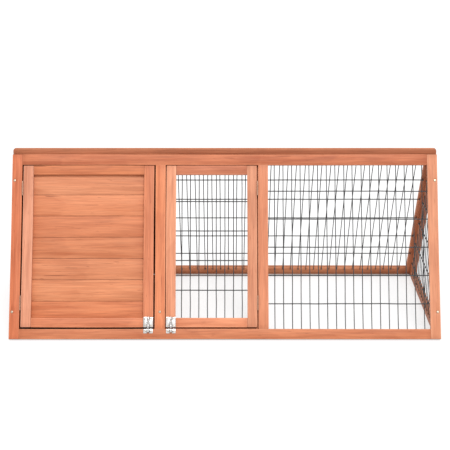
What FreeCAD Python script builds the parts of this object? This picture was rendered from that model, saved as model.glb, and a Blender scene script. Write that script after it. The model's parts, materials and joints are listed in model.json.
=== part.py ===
import FreeCAD, Part
import math
import os

# A long triangular rabbit hutch: two sloping framed panels lean on a ridge board, with a boarded house
# at the left end and a wire run at the right. Millimetres, +X along the ridge towards the run, -Y the
# front, +Z up. The origin is the middle of the footprint, on the ground.
# A panel is drawn flat: x along the hutch, y up the slope from its outer lower edge, z outwards from
# its outer face. place_front and place_rear then lean it into place.

V = FreeCAD.Vector
along_x = V(1, 0, 0)
up_slope = V(0, 1, 0)
outwards = V(0, 0, 1)
inwards = V(0, 0, -1)

# Overall
length = 1200.0
depth = 500.0
panel_slope = 520.4
panel_thickness = 12.0
ridge_thickness = 9.0
ridge_height = 45.0
ridge_rise = 13.7
ridge_corner_radius = 8.0

# Panel frames and doors
stile_width = 28.0
rail_width = 30.0
front_foot_rail = 28.0
house_door_width = 369.0
run_door_width = 254.0
house_door_stile = 28.0
run_door_stile = 27.0
door_rail = 26.0
hinge_gap = 4.0
house_latch_gap = 4.0
run_latch_gap = 3.0
door_gap_below = 5.0
door_gap_above = 2.0
stop_thickness = 8.0
stop_lap = 6.0
stop_seat = 8.0
stop_relief = 1.0

# Gable and partition frames
leg_thickness = 15.0
leg_depth = 28.0
sill_height = 28.0
doorway_width = 150.0
doorway_boards = 4

# Boards
board_width = 60.0
board_thickness = 8.0
board_chamfer = 1.0
door_board_lap = 14.0
door_board_start = 13.0
rear_board_start = 16.0
gable_board_count = 7

# Welded wire
wire_radius = 1.25
row_wire_radius = 1.5
weld_sink = 0.3
wire_lap = 5.0
front_mesh = {"first_upright": 18.0, "upright_pitch": 24.57, "first_row": 70.9, "row_pitch": 79.6}
rear_mesh = {"first_upright": 24.0, "upright_pitch": 24.4, "first_row": 73.5, "row_pitch": 79.5}
door_mesh = {"first_upright": 16.0, "upright_pitch": 24.2, "first_row": 77.8, "row_pitch": 83.6}
gable_wire_pitch = 24.5
gable_wire_row = 80.0
gable_wire_first_row = 32.0

# Staples that hold the wire
staple_wire = 1.0
staple_play = 0.2
staple_depth = 5.0
staple_inset = 2.0
staple_every = 3

# Barrel bolts
plate_width = 26.5
plate_height = 28.0
plate_thickness = 1.0
plate_inset = 0.8
keeper_height = 12.0
notch_width = 7.0
notch_depth = 3.0
rod_radius = 2.5
rod_clearance = 0.3
strap_thickness = 0.8
lower_strap_height = 7.0
rod_rest_gap = 1.0
shoot_travel = 7.5
draw_travel = 4.0
rod_above_plate = 1.0
knob_stem_radius = 1.4
knob_stem_height = 5.0
knob_radius = 2.6
rod_tip_chamfer = 0.6

# Butt hinges
hinge_length = 40.0
hinge_low = 80.5
hinge_high = 403.5
knuckle_count = 5
knuckle_space = 0.3
knuckle_radius = 2.0
pin_radius = 1.0
pin_clearance = 0.04
pin_head_radius = 1.8
pin_head_height = 0.6
pin_proud = 1.2
leaf_thickness = 0.9
leaf_reach = 11.0
leaf_relief = 0.4

# Screws
pilot_clearance = 0.05
pilot_extra = 0.5
panel_screw = {"head": 3.5, "head_height": 1.5, "shank": 1.7, "long": 30.0}
small_screw = {"head": 1.9, "head_height": 0.7, "shank": 1.0, "long": 9.0}
panel_screw_inset = 7.5
panel_screw_rows = [75.5, 446.0]
leaf_screw_spread = 12.0
leaf_screw_depth = 6.0
plate_screw_edge = 4.5

# Worked out from the sizes above
reach = depth / 2 - ridge_thickness / 2
slope = math.atan2(panel_thickness, panel_slope) + math.acos(reach / math.hypot(panel_slope, panel_thickness))
cos_slope = math.cos(slope)
sin_slope = math.sin(slope)
ridge_top = panel_thickness * cos_slope + panel_slope * sin_slope + ridge_rise
ridge_bottom = ridge_top - ridge_height

left_end = -length / 2
right_end = length / 2
house_door_left = left_end + stile_width + hinge_gap
house_door_right = house_door_left + house_door_width
house_stile_left = house_door_right + house_latch_gap
house_stile_right = house_stile_left + stile_width
partition_middle = (house_stile_left + house_stile_right) / 2
run_door_left = house_stile_right + run_latch_gap
run_door_right = run_door_left + run_door_width
run_stile_left = run_door_right + hinge_gap
run_stile_right = run_stile_left + stile_width
opening_low = front_foot_rail
rear_opening_low = rail_width
opening_high = panel_slope - rail_width
door_low = opening_low + door_gap_below
door_high = opening_high - door_gap_above
inner_leg_face = panel_thickness + leg_depth
partition_left = partition_middle - leg_thickness / 2
partition_right = partition_middle + leg_thickness / 2
gable_leg_left = right_end - leg_thickness

rod_height = plate_thickness + rod_clearance + rod_radius
strap_inner = rod_radius + rod_clearance
strap_outer = strap_inner + strap_thickness
window_low = door_low + lower_strap_height
knob_middle = window_low + rod_clearance + shoot_travel + knob_stem_radius
window_high = knob_middle + knob_stem_radius + draw_travel + rod_clearance
rod_low = opening_low + rod_rest_gap
rod_high = door_low + plate_height + rod_above_plate

nodes = {}
pilots = []
wooden = []
staples = {"frame": [], "run_door": []}


# ---------- placing ----------
def place_front(shape):
    leaned = shape.copy()
    leaned.rotate(V(0, 0, 0), along_x, math.degrees(slope))
    leaned.translate(V(0, -depth / 2, panel_thickness * cos_slope))
    return leaned


def place_rear(shape):
    leaned = place_front(shape)
    leaned.rotate(V(0, 0, 0), V(0, 0, 1), 180)
    return leaned


def add(name, shape, is_wood=False):
    nodes[name] = shape
    if is_wood:
        wooden.append(name)


def bar(x_low, x_high, y_low, y_high, depth_low=0.0, depth_high=panel_thickness):
    return Part.makeBox(x_high - x_low, y_high - y_low, depth_high - depth_low, V(x_low, y_low, -depth_high))


def half_width_at(layer, height):
    # Distance from the middle plane to the plane that lies layer under a panel's outer face
    run_up = (height - (panel_thickness - layer) * cos_slope) / sin_slope
    return depth / 2 - run_up * cos_slope - layer * sin_slope


def height_at(layer, half_width):
    run_up = (depth / 2 - half_width - layer * sin_slope) / cos_slope
    return (panel_thickness - layer) * cos_slope + run_up * sin_slope


def cross_prism(points, x_low, x_high):
    corners = [V(x_low, y, z) for y, z in points]
    face = Part.Face(Part.makePolygon(corners + corners[:1]))
    return face.extrude(V(x_high - x_low, 0, 0))


# ---------- screws ----------
def screw(kind, seat, into):
    shank = Part.makeCylinder(kind["shank"], kind["long"], seat, into)
    head = Part.makeCylinder(kind["head"], kind["head_height"], seat, into * -1)
    return head.fuse(shank).removeSplitter()


def pilot(kind, seat, into, sunk=False):
    hole = Part.makeCylinder(kind["shank"] + pilot_clearance, kind["long"] + pilot_extra, seat, into)
    if sunk:
        recess_radius = kind["head"] + pilot_clearance
        recess = Part.makeCylinder(recess_radius, 2 * kind["head_height"], seat, into * -1)
        hole = hole.fuse(recess)
    return hole


def drilled(shape):
    near = [hole for hole in pilots if shape.BoundBox.intersect(hole.BoundBox)]
    return shape.cut(near) if near else shape


# ---------- wood ----------
def board(x_low, x_high, y_low, y_high, depth_low, depth_high):
    plain = bar(x_low, x_high, y_low, y_high, depth_low, depth_high)
    seams = []
    for edge in plain.Edges:
        middle = edge.CenterOfMass
        runs_across = abs(edge.tangentAt(edge.FirstParameter).x) > 0.9
        if runs_across and abs(middle.z + depth_low) < 0.01:
            seams.append(edge)
    return plain.makeChamfer(board_chamfer, seams)


def panel_frame(prefix, place, end_names, middle_stiles, foot_rail):
    # The rear panel's own x runs the other way, so its ends are named in the other order
    add(prefix + end_names[0], place(bar(left_end, left_end + stile_width, 0, panel_slope)), True)
    add(prefix + end_names[1], place(bar(right_end - stile_width, right_end, 0, panel_slope)), True)
    rail_low = left_end + stile_width
    rail_high = right_end - stile_width
    add(prefix + "_bottom_rail", place(bar(rail_low, rail_high, 0, foot_rail)), True)
    add(prefix + "_top_rail", place(bar(rail_low, rail_high, opening_high, panel_slope)), True)
    for name, x_low in middle_stiles:
        stile = bar(x_low, x_low + stile_width, foot_rail, opening_high)
        add(prefix + "_" + name, place(stile), True)


def door_frame(prefix, x_low, x_high, stile, left_name, right_name):
    add(prefix + left_name, place_front(bar(x_low, x_low + stile, door_low, door_high)), True)
    add(prefix + right_name, place_front(bar(x_high - stile, x_high, door_low, door_high)), True)
    inner = (x_low + stile, x_high - stile)
    add(prefix + "_bottom_rail", place_front(bar(*inner, door_low, door_low + door_rail)), True)
    add(prefix + "_top_rail", place_front(bar(*inner, door_high - door_rail, door_high)), True)


def door_stop(x_span, y_span, seat):
    # A strip behind the edge of the run door. It lies on the frame, and clears the door everywhere
    # but over its seat, which is the part of the frame that it is fixed to
    back = panel_thickness + stop_thickness
    strip = bar(*x_span, *y_span, panel_thickness + stop_relief, back)
    foot = bar(*seat, panel_thickness, back)
    return place_front(strip.fuse(foot).removeSplitter())


def run_door_stops():
    low = opening_low - stop_seat
    high = opening_high + stop_seat
    left = (partition_right, run_door_left + stop_lap)
    right = (run_door_right - stop_lap, run_stile_left + stop_seat)
    across = (left[1], right[0])
    strips = [
        door_stop(left, (low, high), (left[0], house_stile_right, low, high)),
        door_stop(right, (low, high), (run_stile_left, right[1], low, high)),
        door_stop(across, (low, door_low + stop_lap), (*across, low, opening_low)),
        door_stop(across, (door_high - stop_lap, high), (*across, opening_high, high)),
    ]
    add("run_door_stops", Part.makeCompound(strips), True)


def house_door_boards():
    count = round((door_high - door_low - door_rail) / board_width)
    x_low = house_door_left + door_board_lap
    x_high = house_door_right - door_board_lap
    for i in range(count):
        y_low = door_low + door_board_start + i * board_width
        back = panel_thickness + board_thickness
        plank = board(x_low, x_high, y_low, y_low + board_width, panel_thickness, back)
        add("house_door_board_%d" % (count - i), place_front(plank), True)


def rear_wall_boards(x_low, x_high):
    # Drawn on the rear panel, whose own x runs the other way
    count = int((panel_slope - rear_board_start) / board_width)
    planks = []
    for i in range(count):
        y_low = rear_board_start + i * board_width
        back = panel_thickness + board_thickness
        planks.append(board(-x_high, -x_low, y_low, y_low + board_width, panel_thickness, back))
    add("rear_wall_boards", Part.makeCompound([place_rear(plank) for plank in planks]), True)


def cross_frame(prefix, x_low):
    x_high = x_low + leg_thickness
    half_ridge = ridge_thickness / 2
    outline = [
        (half_width_at(panel_thickness, 0), 0),
        (half_ridge, height_at(panel_thickness, half_ridge)),
        (half_ridge, ridge_bottom),
        (0, ridge_bottom),
        (0, height_at(inner_leg_face, 0)),
        (half_width_at(inner_leg_face, 0), 0),
    ]
    add(prefix + "_rear_leg", cross_prism(outline, x_low, x_high), True)
    mirrored = [(-y, z) for y, z in outline]
    add(prefix + "_front_leg", cross_prism(mirrored, x_low, x_high), True)
    foot = half_width_at(inner_leg_face, 0)
    head = half_width_at(inner_leg_face, sill_height)
    trapezium = [(-foot, 0), (foot, 0), (head, sill_height), (-head, sill_height)]
    add(prefix + "_sill", cross_prism(trapezium, x_low, x_high), True)


def cross_boards(name, x_low, rear_layer, doorway=0):
    # Each board reaches from the front panel's inner face to rear_layer under the rear panel's outer
    # face, and the lowest boards stop each side of the doorway
    planks = []
    for i in range(gable_board_count):
        low = i * board_width
        high = low + board_width
        front_foot = -half_width_at(panel_thickness, low)
        front_head = -half_width_at(panel_thickness, high)
        rear_foot = half_width_at(rear_layer, low)
        rear_head = half_width_at(rear_layer, high)
        jamb = doorway_width / 2
        outlines = [[(front_foot, low), (rear_foot, low), (rear_head, high), (front_head, high)]]
        if i < doorway:
            outlines = [
                [(front_foot, low), (-jamb, low), (-jamb, high), (front_head, high)],
                [(jamb, low), (rear_foot, low), (rear_head, high), (jamb, high)],
            ]
        planks += [cross_prism(outline, x_low, x_low + board_thickness) for outline in outlines]
    add(name, Part.makeCompound(planks), True)


def ridge_board():
    corner = V(left_end, -ridge_thickness / 2, ridge_bottom)
    plain = Part.makeBox(length, ridge_thickness, ridge_height, corner)
    corners = []
    for edge in plain.Edges:
        middle = edge.CenterOfMass
        at_end = abs(abs(middle.x) - length / 2) < 0.01
        if at_end and abs(middle.z - ridge_top) < 0.01 and abs(middle.y) < 0.01:
            corners.append(edge)
    add("ridge_board", plain.makeFillet(ridge_corner_radius, corners), True)


# ---------- wire ----------
def welded(wires):
    return wires[0].multiFuse(wires[1:])


def staple(radius, bridge, spot, turns):
    # Drawn over a wire that runs along y on a face at z = 0, then turned and moved to its spot
    half = radius + staple_play + staple_wire
    corner = V(-half, -staple_wire / 2, bridge)
    pieces = [Part.makeBox(2 * half, staple_wire, staple_wire, corner)]
    for x in (-half, half - staple_wire):
        foot = V(x, -staple_wire / 2, -staple_depth)
        pieces.append(Part.makeBox(staple_wire, staple_wire, staple_depth + bridge, foot))
    for piece in pieces:
        for axis, degrees in turns:
            piece.rotate(V(0, 0, 0), axis, degrees)
        piece.translate(spot)
    return pieces


def clear_of(spot, others, room):
    # The nearest place to spot that keeps its room from every one of the others
    for other in others:
        if abs(spot - other) < room:
            return other + math.copysign(room, spot - other)
    return spot


def drive_staples(set_name, all_pieces, place):
    for pieces in all_pieces:
        crown, legs = place(pieces[0]), [place(leg) for leg in pieces[1:]]
        staples[set_name].append(crown.multiFuse(legs))
        pilots.extend(legs)


def panel_mesh(x_low, x_high, y_low, y_high, first_x, pitch_x, first_y, pitch_y):
    # The wires lie on the panel's inner face: the uprights against the wood, the level ones on them
    upright_level = -panel_thickness - wire_radius
    row_level = upright_level - wire_radius - row_wire_radius + weld_sink
    face_down = [(up_slope, 180)]
    face_down_across = [(outwards, 90), (up_slope, 180)]
    row_bridge = -panel_thickness - row_level + row_wire_radius
    y_ends = (y_low - wire_lap, y_high + wire_lap)
    x_ends = (x_low - wire_lap, x_high + wire_lap)
    wires = []
    fixings = []
    for i in range(int((x_high - first_x) / pitch_x) + 1):
        x = first_x + i * pitch_x
        foot = V(x, y_ends[0], upright_level)
        wires.append(Part.makeCylinder(wire_radius, y_ends[1] - y_ends[0], foot, up_slope))
        if i % staple_every == 1:
            for y in (y_ends[0] + staple_inset, y_ends[1] - staple_inset):
                fixings.append(staple(wire_radius, 2 * wire_radius, V(x, y, -panel_thickness), face_down))
    for i in range(int((y_high - first_y) / pitch_y) + 1):
        y = first_y + i * pitch_y
        end = V(x_ends[0], y, row_level)
        wires.append(Part.makeCylinder(row_wire_radius, x_ends[1] - x_ends[0], end, along_x))
        for x in (x_ends[0] + staple_inset, x_ends[1] - staple_inset):
            fixings.append(staple(row_wire_radius, row_bridge, V(x, y, -panel_thickness), face_down_across))
    return welded(wires), fixings


def add_panel_mesh(name, set_name, place, x_span, y_span, layout):
    first_x = x_span[0] + layout["first_upright"]
    first_y = y_span[0] + layout["first_row"]
    pitch_x = layout["upright_pitch"]
    pitch_y = layout["row_pitch"]
    mesh, fixings = panel_mesh(*x_span, *y_span, first_x, pitch_x, first_y, pitch_y)
    add(name, place(mesh))
    drive_staples(set_name, fixings, place)


def gable_mesh():
    # The wires lie on the inner face of the gable frame
    upright_x = gable_leg_left - wire_radius
    row_x = upright_x - wire_radius - row_wire_radius + weld_sink
    row_bridge = gable_leg_left - row_x + row_wire_radius
    base = sill_height - wire_lap
    lap_layer = inner_leg_face - wire_lap
    face_left = [(V(1, 1, 1), 120), (outwards, 180)]
    face_left_across = [(outwards, 90), (V(1, 1, 1), 120), (outwards, 180)]
    wires = []
    fixings = []
    first_row = sill_height + gable_wire_first_row
    side_count = int(half_width_at(inner_leg_face, first_row) / gable_wire_pitch)
    uprights = [i * gable_wire_pitch for i in range(-side_count, side_count + 1)]
    row_count = int((height_at(inner_leg_face, 0) - first_row) / gable_wire_row) + 1
    rows = [first_row + i * gable_wire_row for i in range(row_count)]
    upright_room = wire_radius + staple_play + staple_wire / 2
    row_room = row_wire_radius + staple_play + staple_wire / 2
    for i, y in enumerate(uprights, -side_count):
        top = height_at(lap_layer, abs(y))
        wires.append(Part.makeCylinder(wire_radius, top - base, V(upright_x, y, base), outwards))
        if i % staple_every == 1:
            for z in (base + staple_inset, top - staple_inset):
                spot = V(gable_leg_left, y, clear_of(z, rows, row_room))
                fixings.append(staple(wire_radius, 2 * wire_radius, spot, face_left))
    for z in rows:
        half = half_width_at(lap_layer, z)
        wires.append(Part.makeCylinder(row_wire_radius, 2 * half, V(row_x, -half, z), up_slope))
        for y in (staple_inset - half, half - staple_inset):
            spot = V(gable_leg_left, clear_of(y, uprights, upright_room), z)
            fixings.append(staple(row_wire_radius, row_bridge, spot, face_left_across))
    add("right_gable_mesh", welded(wires))
    drive_staples("frame", fixings, lambda shape: shape)


# ---------- hinges ----------
def knuckle_spans(y_low):
    pitch = (hinge_length + knuckle_space) / knuckle_count
    return [(y_low + i * pitch, y_low + (i + 1) * pitch - knuckle_space) for i in range(knuckle_count)]


def hinge_leaf(side, y_low, spans):
    # A leaf on one side of the gap, drawn with the pin over x = 0
    outer = side * hinge_gap / 2
    inner = outer - side * leaf_thickness
    x_low = min(outer, inner)
    relief = pin_proud - knuckle_radius - leaf_relief
    leaf = Part.makeBox(leaf_thickness, hinge_length, relief + leaf_reach, V(x_low, y_low, -leaf_reach))
    for y_from, y_to in spans:
        tab = Part.makeBox(leaf_thickness, y_to - y_from, pin_proud - relief, V(x_low, y_from, relief))
        knuckle = Part.makeCylinder(knuckle_radius, y_to - y_from, V(0, y_from, pin_proud), up_slope)
        leaf = leaf.fuse(tab).fuse(knuckle)
    bore = Part.makeCylinder(pin_radius + pin_clearance, hinge_length, V(0, y_low, pin_proud), up_slope)
    return leaf.cut(bore)


def hinge_pin(y_low):
    start = V(0, y_low, pin_proud)
    pin = Part.makeCylinder(pin_radius, hinge_length, start, up_slope)
    foot = Part.makeCylinder(pin_head_radius, pin_head_height, start, up_slope * -1)
    top = Part.makeCylinder(pin_head_radius, pin_head_height, V(0, y_low + hinge_length, pin_proud), up_slope)
    return pin.fuse(foot).fuse(top).removeSplitter()


def hinge_set(gap_middle, door_side):
    # The frame's leaves, the door's leaves, the pins and the screws of one door's two hinges
    parts = {"frame": [], "door": [], "pins": [], "frame_screws": [], "door_screws": []}
    for y_low in (hinge_low, hinge_high):
        spans = knuckle_spans(y_low)
        leaves = {
            "frame": (-door_side, hinge_leaf(-door_side, y_low, spans[0::2])),
            "door": (door_side, hinge_leaf(door_side, y_low, spans[1::2])),
        }
        for name, (side, leaf) in leaves.items():
            for offset in (-leaf_screw_spread, leaf_screw_spread):
                face_x = side * (hinge_gap / 2 - leaf_thickness)
                seat = V(face_x, y_low + hinge_length / 2 + offset, -leaf_screw_depth)
                into = V(side, 0, 0)
                hole = pilot(small_screw, seat, into)
                leaf = leaf.cut(hole)
                fastener = screw(small_screw, seat, into)
                fastener.translate(V(gap_middle, 0, 0))
                hole.translate(V(gap_middle, 0, 0))
                parts[name + "_screws"].append(place_front(fastener))
                pilots.append(place_front(hole))
            leaf.translate(V(gap_middle, 0, 0))
            parts[name].append(place_front(leaf))
        pin = hinge_pin(y_low)
        pin.translate(V(gap_middle, 0, 0))
        parts["pins"].append(place_front(pin))
    return parts


# ---------- barrel bolts ----------
def strap(x_middle, y_low, y_high):
    tall = y_high - y_low
    wall = Part.makeBox(2 * strap_outer, tall, rod_height, V(x_middle - strap_outer, y_low, 0))
    crown = Part.makeCylinder(strap_outer, tall, V(x_middle, y_low, rod_height), up_slope)
    return wall.fuse(crown)


def strap_hollow(x_middle, y_low, y_high):
    tall = y_high - y_low
    rise = rod_height - plate_thickness
    channel = Part.makeBox(2 * strap_inner, tall, rise, V(x_middle - strap_inner, y_low, plate_thickness))
    round_top = Part.makeCylinder(strap_inner, tall, V(x_middle, y_low, rod_height), up_slope)
    corner = V(x_middle - 2 * strap_outer, y_low, plate_thickness)
    above = Part.makeBox(4 * strap_outer, tall, 4 * strap_outer, corner)
    return channel.fuse(round_top).common(above)


def plate(x_middle, y_low, y_high, straps, notch_at_top):
    corner = V(x_middle - plate_width / 2, y_low, 0)
    sheet = Part.makeBox(plate_width, y_high - y_low, plate_thickness, corner)
    for low, high in straps:
        sheet = sheet.fuse(strap(x_middle, low, high))
    sheet = sheet.cut(strap_hollow(x_middle, y_low, y_high))
    notch_y = y_high - notch_depth if notch_at_top else y_low
    corner = V(x_middle - notch_width / 2, notch_y, 0)
    cut_out = Part.makeBox(notch_width, notch_depth, plate_thickness, corner)
    return sheet.cut(cut_out)


def plate_screws(x_middle, rows):
    across = plate_width / 2 - plate_screw_edge
    seats = [V(x_middle + side * across, y, plate_thickness) for y in rows for side in (-1, 1)]
    return seats


def fitted(sheet, seats):
    # Drills the sheet for its screws, and returns it leaned into place with the screws
    for seat in seats:
        hole = pilot(small_screw, seat, inwards)
        sheet = sheet.cut(hole)
        pilots.append(place_front(hole))
    return place_front(sheet), [place_front(screw(small_screw, seat, inwards)) for seat in seats]


def sliding_bolt(x_middle):
    rod = Part.makeCylinder(rod_radius, rod_high - rod_low, V(x_middle, rod_low, rod_height), up_slope)
    rims = [edge for edge in rod.Edges if edge.Closed]
    rod = rod.makeChamfer(rod_tip_chamfer, rims)
    root = V(x_middle, knob_middle, rod_height)
    stem = Part.makeCylinder(knob_stem_radius, knob_stem_height, root, outwards)
    knob_level = rod_height + knob_stem_height + knob_radius / 2
    knob = Part.makeSphere(knob_radius, V(x_middle, knob_middle, knob_level))
    return place_front(rod.fuse(stem).fuse(knob))


def barrel_bolt(prefix, x_middle):
    upper_strap_top = door_low + plate_height - notch_depth
    straps = [(door_low, window_low), (window_high, upper_strap_top)]
    door_sheet = plate(x_middle, door_low, door_low + plate_height, straps, True)
    rows = [door_low + plate_screw_edge, door_low + plate_height - plate_screw_edge]
    door_sheet, door_screws = fitted(door_sheet, plate_screws(x_middle, rows))
    add(prefix + "_bolt_plate", door_sheet)
    add(prefix + "_bolt", sliding_bolt(x_middle))
    keeper_low = opening_low - keeper_height
    keeper = plate(x_middle, keeper_low, opening_low, [(keeper_low + notch_depth, opening_low)], False)
    keeper, keeper_screws = fitted(keeper, plate_screws(x_middle, [(keeper_low + opening_low) / 2]))
    add(prefix + "_bolt_keeper", keeper)
    return door_screws, keeper_screws


# ---------- the hutch ----------
def build():
    ends = ("_left_stile", "_right_stile")
    front_stiles = [("house_stile", house_stile_left), ("run_stile", run_stile_left)]
    panel_frame("front", place_front, ends, front_stiles, opening_low)
    rear_stiles = [("middle_stile", -house_stile_right)]
    panel_frame("rear", place_rear, ends[::-1], rear_stiles, rear_opening_low)

    door_frame("house_door", house_door_left, house_door_right, house_door_stile,
               "_hinge_stile", "_latch_stile")
    house_door_boards()
    door_frame("run_door", run_door_left, run_door_right, run_door_stile, "_latch_stile", "_hinge_stile")
    run_door_stops()

    cross_frame("left_gable", left_end)
    cross_frame("partition", partition_left)
    cross_frame("right_gable", gable_leg_left)
    left_boards = left_end + leg_thickness
    partition_boards = partition_left - board_thickness
    cross_boards("left_gable_boards", left_boards, panel_thickness)
    cross_boards("partition_boards", partition_boards, panel_thickness + board_thickness, doorway_boards)
    rear_wall_boards(left_boards + board_thickness, partition_boards + board_thickness)
    ridge_board()

    right_opening = right_end - stile_width
    add_panel_mesh("front_run_mesh", "frame", place_front, (run_stile_right, right_opening),
                   (opening_low, opening_high), front_mesh)
    add_panel_mesh("rear_run_mesh", "frame", place_rear, (-right_opening, -house_stile_right),
                   (rear_opening_low, opening_high), rear_mesh)
    add_panel_mesh("run_door_mesh", "run_door", place_front,
                   (run_door_left + run_door_stile, run_door_right - run_door_stile),
                   (door_low + door_rail, door_high - door_rail), door_mesh)
    gable_mesh()

    house_hinges = hinge_set(house_door_left - hinge_gap / 2, 1)
    run_hinges = hinge_set(run_door_right + hinge_gap / 2, -1)
    add("hinge_frame_leaves", Part.makeCompound(house_hinges["frame"] + run_hinges["frame"]))
    add("hinge_pins", Part.makeCompound(house_hinges["pins"] + run_hinges["pins"]))
    add("house_door_hinge_leaves", Part.makeCompound(house_hinges["door"]))
    add("run_door_hinge_leaves", Part.makeCompound(run_hinges["door"]))

    house_bolt_middle = house_door_right - plate_inset - plate_width / 2
    run_bolt_middle = run_door_left + plate_inset + plate_width / 2
    house_plate_screws, house_keeper_screws = barrel_bolt("house_door", house_bolt_middle)
    run_plate_screws, run_keeper_screws = barrel_bolt("run_door", run_bolt_middle)
    frame_small = house_hinges["frame_screws"] + run_hinges["frame_screws"]
    frame_small += house_keeper_screws + run_keeper_screws
    add("frame_hardware_screws", Part.makeCompound(frame_small))
    add("house_door_screws", Part.makeCompound(house_hinges["door_screws"] + house_plate_screws))
    add("run_door_screws", Part.makeCompound(run_hinges["door_screws"] + run_plate_screws))

    panel_screws = []
    screw_ends = (left_end + panel_screw_inset, right_end - panel_screw_inset)
    rows_by_stile = (panel_screw_rows, panel_screw_rows[:1], panel_screw_rows)
    for place, middle in ((place_front, partition_middle), (place_rear, -partition_middle)):
        for x, rows in zip((screw_ends[0], middle, screw_ends[1]), rows_by_stile):
            for y in rows:
                seat = V(x, y, -panel_screw["head_height"])
                panel_screws.append(place(screw(panel_screw, seat, inwards)))
                pilots.append(place(pilot(panel_screw, seat, inwards, sunk=True)))
    add("panel_screws", Part.makeCompound(panel_screws))
    for set_name, driven in staples.items():
        add(set_name + "_staples", Part.makeCompound(driven))

    for name in wooden:
        solids = [drilled(solid) for solid in nodes[name].Solids]
        nodes[name] = solids[0] if len(solids) == 1 else Part.makeCompound(solids)


os.makedirs("parts", exist_ok=True)
build()
for name, shape in nodes.items():
    shape.exportStep("parts/" + name + ".step")
    sizes = "%.1f x %.1f x %.1f" % (shape.BoundBox.XLength, shape.BoundBox.YLength, shape.BoundBox.ZLength)
    print("%-26s %2d solid  valid %s  %s" % (name, len(shape.Solids), shape.isValid(), sizes))
print("nodes %d, slope %.3f degrees, ridge top %.2f" % (len(nodes), math.degrees(slope), ridge_top))
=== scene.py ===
import json
import math
import random

import bpy
from mathutils import Matrix, Vector

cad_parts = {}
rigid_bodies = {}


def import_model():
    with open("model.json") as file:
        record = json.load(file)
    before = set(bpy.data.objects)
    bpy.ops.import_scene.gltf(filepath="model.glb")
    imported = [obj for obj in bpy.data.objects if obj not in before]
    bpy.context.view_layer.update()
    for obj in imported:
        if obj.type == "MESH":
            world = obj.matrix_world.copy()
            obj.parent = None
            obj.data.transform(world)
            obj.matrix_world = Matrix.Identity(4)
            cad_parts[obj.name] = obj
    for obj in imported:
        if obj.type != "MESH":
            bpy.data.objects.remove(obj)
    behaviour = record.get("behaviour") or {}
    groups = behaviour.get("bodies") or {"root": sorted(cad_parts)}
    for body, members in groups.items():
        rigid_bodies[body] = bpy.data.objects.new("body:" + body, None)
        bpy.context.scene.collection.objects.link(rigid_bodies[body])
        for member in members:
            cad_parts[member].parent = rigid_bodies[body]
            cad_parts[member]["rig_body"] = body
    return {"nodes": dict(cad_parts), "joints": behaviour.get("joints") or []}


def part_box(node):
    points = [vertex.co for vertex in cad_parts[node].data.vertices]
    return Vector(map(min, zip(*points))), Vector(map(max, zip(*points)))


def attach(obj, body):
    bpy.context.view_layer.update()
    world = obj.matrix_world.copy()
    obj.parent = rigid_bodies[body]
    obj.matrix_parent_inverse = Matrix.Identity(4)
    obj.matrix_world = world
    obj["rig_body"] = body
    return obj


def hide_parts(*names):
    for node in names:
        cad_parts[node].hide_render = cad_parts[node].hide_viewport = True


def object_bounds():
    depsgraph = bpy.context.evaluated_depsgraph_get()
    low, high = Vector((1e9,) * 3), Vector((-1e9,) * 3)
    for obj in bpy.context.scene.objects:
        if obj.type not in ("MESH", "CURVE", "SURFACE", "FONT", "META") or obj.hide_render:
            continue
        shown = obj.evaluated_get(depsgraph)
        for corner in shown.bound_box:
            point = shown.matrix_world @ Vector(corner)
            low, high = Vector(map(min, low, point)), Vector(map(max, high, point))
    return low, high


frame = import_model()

# A long triangular rabbit hutch of stained fir: boarded house on the left, wire run on the right.
# Metres, +X along the ridge, -Y the front. Bars are made lying flat as on a bench (x along the hutch,
# y up the slope, z outwards) and then leaned against the ridge.

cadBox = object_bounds()
print("frame loaded:", len(frame["nodes"]), "nodes")


# the bench and where its work goes

hingeLine = next(j for j in frame["joints"] if j["name"] == "run_door_hinge")["axis"]
slopeCos, slopeSin = hingeLine[1], hingeLine[2]
slope = math.atan2(slopeSin, slopeCos)
stileLow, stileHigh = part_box("front_left_stile")
rise, run = stileHigh.z - stileLow.z, stileHigh.y - stileLow.y
panelThick = (slopeCos * rise - slopeSin * run) / (slopeCos ** 2 - slopeSin ** 2)

frontLean = Matrix.Translation((0, stileLow.y, panelThick * slopeCos)) @ Matrix.Rotation(slope, 4, "X")
rearLean = Matrix.Rotation(math.pi, 4, "Z") @ frontLean
upright = Matrix.Identity(4)


def clearSelection():
    if bpy.context.object and bpy.context.object.mode != "OBJECT":
        bpy.ops.object.mode_set(mode="OBJECT")
    bpy.ops.object.select_all(action="DESELECT")


def pickOnly(piece):
    clearSelection()
    piece.select_set(True)
    bpy.context.view_layer.objects.active = piece


def flatBox(node, lean):
    # lowest and highest corner of a node as it lies on the bench
    back = lean.inverted()
    points = [back @ v.co for v in frame["nodes"][node].data.vertices]
    low = Vector(min(p[i] for p in points) for i in range(3))
    high = Vector(max(p[i] for p in points) for i in range(3))
    return low, high


def pieceName(node):
    first, *rest = node.split("_")
    return first + "".join(word.capitalize() for word in rest)


def nameAs(piece, name):
    piece.name = name
    piece.data.name = name


def fixPlace():
    # the active object's place, turn and size go into its mesh
    bpy.ops.object.transform_apply(location=True, rotation=True, scale=True)


def justAdded():
    fixPlace()
    return bpy.context.object


def startEdit():
    bpy.ops.object.mode_set(mode="EDIT")


def leaveEdit():
    bpy.ops.object.mode_set(mode="OBJECT")


def applyModifiers(piece):
    pickOnly(piece)
    for modifier in list(piece.modifiers):
        bpy.ops.object.modifier_apply(modifier=modifier.name)


def leanInto(piece, lean):
    # sets the piece in its place in the hutch, with that place in its mesh
    pickOnly(piece)
    piece.matrix_world = lean @ piece.matrix_world
    fixPlace()


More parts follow.
